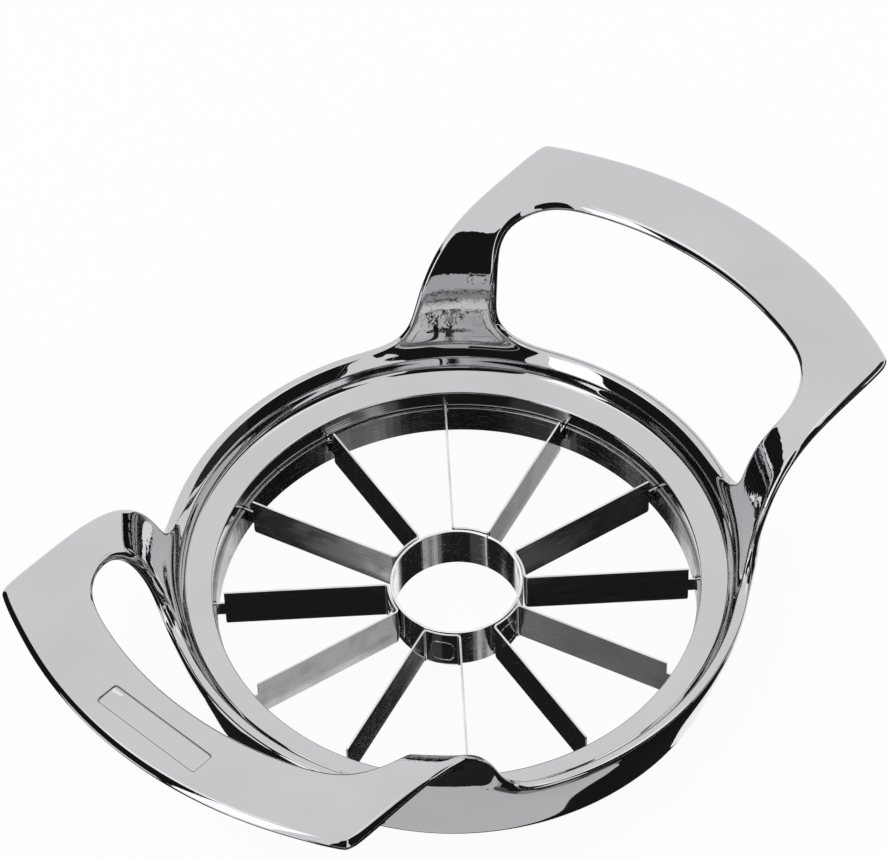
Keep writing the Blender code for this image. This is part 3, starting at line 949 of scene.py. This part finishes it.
# What polished metal mirrors from below the horizon. Each card has a level, the width of its soft
# edge and its corners, as headings and falls below the horizon. The first card covers all of it,
# and the later ones lie on it.
lowCards = {
    "lowDark": (0.012, 1.0, (
        (-180, 0.5), (-135, 0.5), (-90, 0.5), (-45, 0.5), (0, 0.5), (45, 0.5), (90, 0.5),
        (135, 0.5),
    )),
    "foreground": (1.0, 0.25, (
        (-42, 1), (-50, 6), (-58, 20), (-74, 34), (-72, 40), (-62, 45), (-54, 50), (-46, 54.6),
        (-42, 57.5), (-36, 60), (-31, 61.5), (-20, 58.5), (-10, 57), (0, 55), (10, 54.8), (28, 57),
        (38, 55.5), (44, 52), (46, 46), (43, 38), (43, 5), (40, 1),
    )),
    "foreEdge": (0.34, 0.3, (
        (-64, 44), (-59.5, 49), (-57, 53), (-50, 56), (-45, 55), (-52, 49), (-61, 43),
    )),
    "rightHaze": (0.1, 0.3, (
        (-128, 33), (-128, 50), (-124, 60), (-150, 62), (-156, 50), (-156, 33),
    )),
    "rightBand": (0.42, 0.1, (
        (-119, 47.5), (-117.6, 50), (-115.8, 54), (-112, 60), (-108, 64), (-118, 64.5), (-127, 61),
        (-129.5, 54), (-130.5, 50), (-126, 48),
    )),
    "coreBand": (0.36, 0.12, (
        (-139.5, 33), (-139, 50), (-138, 64), (-146, 64), (-147.5, 50), (-147.5, 33),
    )),
    "nadir": (0.66, 0.06, (
        (100, 79.3), (120, 79.2), (140, 79.2), (160, 79.4), (180, 79.6), (-165, 79.8), (-156, 72),
        (-150, 60), (-145, 55), (-118, 54), (-114, 57), (-105, 62), (-92, 67), (-84, 71), (-82, 75),
        (-83, 77.8), (-84, 80), (-75, 84), (-40, 86), (10, 85), (34, 81), (60, 79), (80, 79.4),
    )),
    "leftBand": (0.15, 0.2, (
        (128.5, 28), (124.5, 42), (120.6, 50.6), (116.5, 57), (110, 61), (98, 65), (80, 69),
        (54, 69), (54, 76), (90, 76), (118, 67), (124, 60), (129, 50), (134, 28),
    )),
    "leftHaze": (0.05, 0.3, (
        (134, 28), (129, 50), (124, 60), (140, 62), (152, 56), (152, 30),
    )),
    "leftEdge": (0.75, 0.09, (
        (130.2, 28), (126.4, 40), (121.6, 50.2), (117.2, 57), (118.7, 57.5), (123.4, 50.6),
        (128.2, 40), (132.2, 28),
    )),
    "leftGlow": (1.2, 0.4, ((118, 2), (122, 20), (127, 30), (146, 30), (146, 2))),
    "rimGlow": (1.05, 0.12, (
        (90, 1), (90, 22), (86, 36), (84, 43), (92, 46), (100, 38), (110, 30), (116, 20), (116, 1),
    )),
    "nearGlow": (0.62, 0.3, ((158, 0.8), (160, 8), (182, 8), (184, 0.8))),
}
# Painted shade under the near grip: a dark card band under the grip, seen only in mirrors, that
# stands in for the grip's shaded underside as the ring below mirrors it
armShade = {
    "level": 0.02,
    "height": 27.0,
    "inner": 75.4,
    "outer": 88.0,
    "turns": (-12, -8, -4, 0, 4, 8, 13),
    "softness": 0.4,
}


def headingPoint(heading, rise, distance):
    level = math.cos(math.radians(rise)) * distance
    return polar(level, studio["heading"] + heading, math.sin(math.radians(rise)) * distance)


def lowPoint(heading, fall):
    reach = studio["depth"] / math.tan(math.radians(fall))
    return polar(reach, studio["heading"] + heading, -studio["depth"])


# A card glows where its body is 1, and fades out to clear over its soft edge.
def cardPaint(name, level):
    material = bpy.data.materials.new(name)
    material.use_nodes = True
    nodes, links = material.node_tree.nodes, material.node_tree.links
    nodes.clear()
    output = nodes.new("ShaderNodeOutputMaterial")
    mix = nodes.new("ShaderNodeMixShader")
    clear = nodes.new("ShaderNodeBsdfTransparent")
    glow = nodes.new("ShaderNodeEmission")
    body = nodes.new("ShaderNodeAttribute")
    body.attribute_name = "body"
    glow.inputs["Color"].default_value = (1, 1, 1, 1)
    glow.inputs["Strength"].default_value = level
    links.new(body.outputs["Fac"], mix.inputs["Fac"])
    links.new(clear.outputs["BSDF"], mix.inputs[1])
    links.new(glow.outputs["Emission"], mix.inputs[2])
    links.new(mix.outputs["Shader"], output.inputs["Surface"])
    return material


def addCard(name, level, corners, softness):
    mesh = bmesh.new()
    body = mesh.verts.layers.float.new("body")
    face = mesh.faces.new([mesh.verts.new(corner) for corner in corners])
    mesh.faces.ensure_lookup_table()
    bmesh.ops.inset_region(mesh, faces=[face], thickness=softness, use_even_offset=True)
    for vert in face.verts:
        vert[body] = 1
    bmesh.ops.triangulate(mesh, faces=[face])
    data = bpy.data.meshes.new(name)
    mesh.to_mesh(data)
    mesh.free()
    card = bpy.data.objects.new(name, data)
    bpy.context.scene.collection.objects.link(card)
    data.materials.append(cardPaint(name, level))
    card.visible_camera = False
    card.visible_diffuse = False
    card.visible_shadow = False


def addStudio():
    reach = studio["distance"]
    for cards, soft in ((flags, studio["flagSoftness"]), (softBoxes, studio["boxSoftness"])):
        for name, (level, corners) in cards.items():
            places = [headingPoint(heading, rise, reach) for heading, rise in corners]
            addCard(name, level, places, math.radians(soft) * reach)
    for number, (name, (level, soft, corners)) in enumerate(lowCards.items()):
        lift = Vector((0, 0, number * studio["cardLift"]))
        addCard(name, level, [lowPoint(*corner) + lift for corner in corners], soft)
    # the dark card under the near grip: painted shade for the ring to mirror
    headings = [studio["heading"] + 180 + turn for turn in armShade["turns"]]
    inner, outer = (
        [polar(armShade[key], heading, armShade["height"]) * mm for heading in headings]
        for key in ("inner", "outer")
    )
    addCard("armShade", armShade["level"], inner + outer[::-1], armShade["softness"] * mm)


# A pale floor that keeps the object's shadow, and that the camera, mirrors and glass see as white
def floorPaint():
    material = bpy.data.materials.new("floorPaint")
    material.use_nodes = True
    tree = material.node_tree
    nodes, links = tree.nodes, tree.links
    nodes.clear()
    output = nodes.new("ShaderNodeOutputMaterial")
    mix = nodes.new("ShaderNodeMixShader")
    body = nodes.new("ShaderNodeBsdfDiffuse")
    glow = nodes.new("ShaderNodeEmission")
    rays = nodes.new("ShaderNodeLightPath")
    body.inputs["Color"].default_value = (*[studio["floorTone"]] * 3, 1)
    glow.inputs["Color"].default_value = (1, 1, 1, 1)
    glow.inputs["Strength"].default_value = 1
    seen = mathNode(tree, "MAXIMUM", rays.outputs["Is Camera Ray"], rays.outputs["Is Glossy Ray"])
    seen = mathNode(tree, "MAXIMUM", seen, rays.outputs["Is Transmission Ray"])
    share = mathNode(tree, "MULTIPLY", seen, studio["floorGlow"])
    links.new(share, mix.inputs["Fac"])
    links.new(body.outputs["BSDF"], mix.inputs[1])
    links.new(glow.outputs["Emission"], mix.inputs[2])
    links.new(mix.outputs["Shader"], output.inputs["Surface"])
    return material


bpy.ops.mesh.primitive_plane_add(size=studio["floorSize"], location=(0, 0, 0))
floor = bpy.context.object
floor.name = "floor"
floor.data.materials.append(floorPaint())
floor.visible_glossy = False
addStudio()

world = bpy.data.worlds.new("studio")
bpy.context.scene.world = world
world.use_nodes = True
world.node_tree.nodes["Background"].inputs["Color"].default_value = (1, 1, 1, 1)
bpy.context.scene.view_settings.view_transform = "Standard"
print("studio set")

bpy.context.view_layer.update()
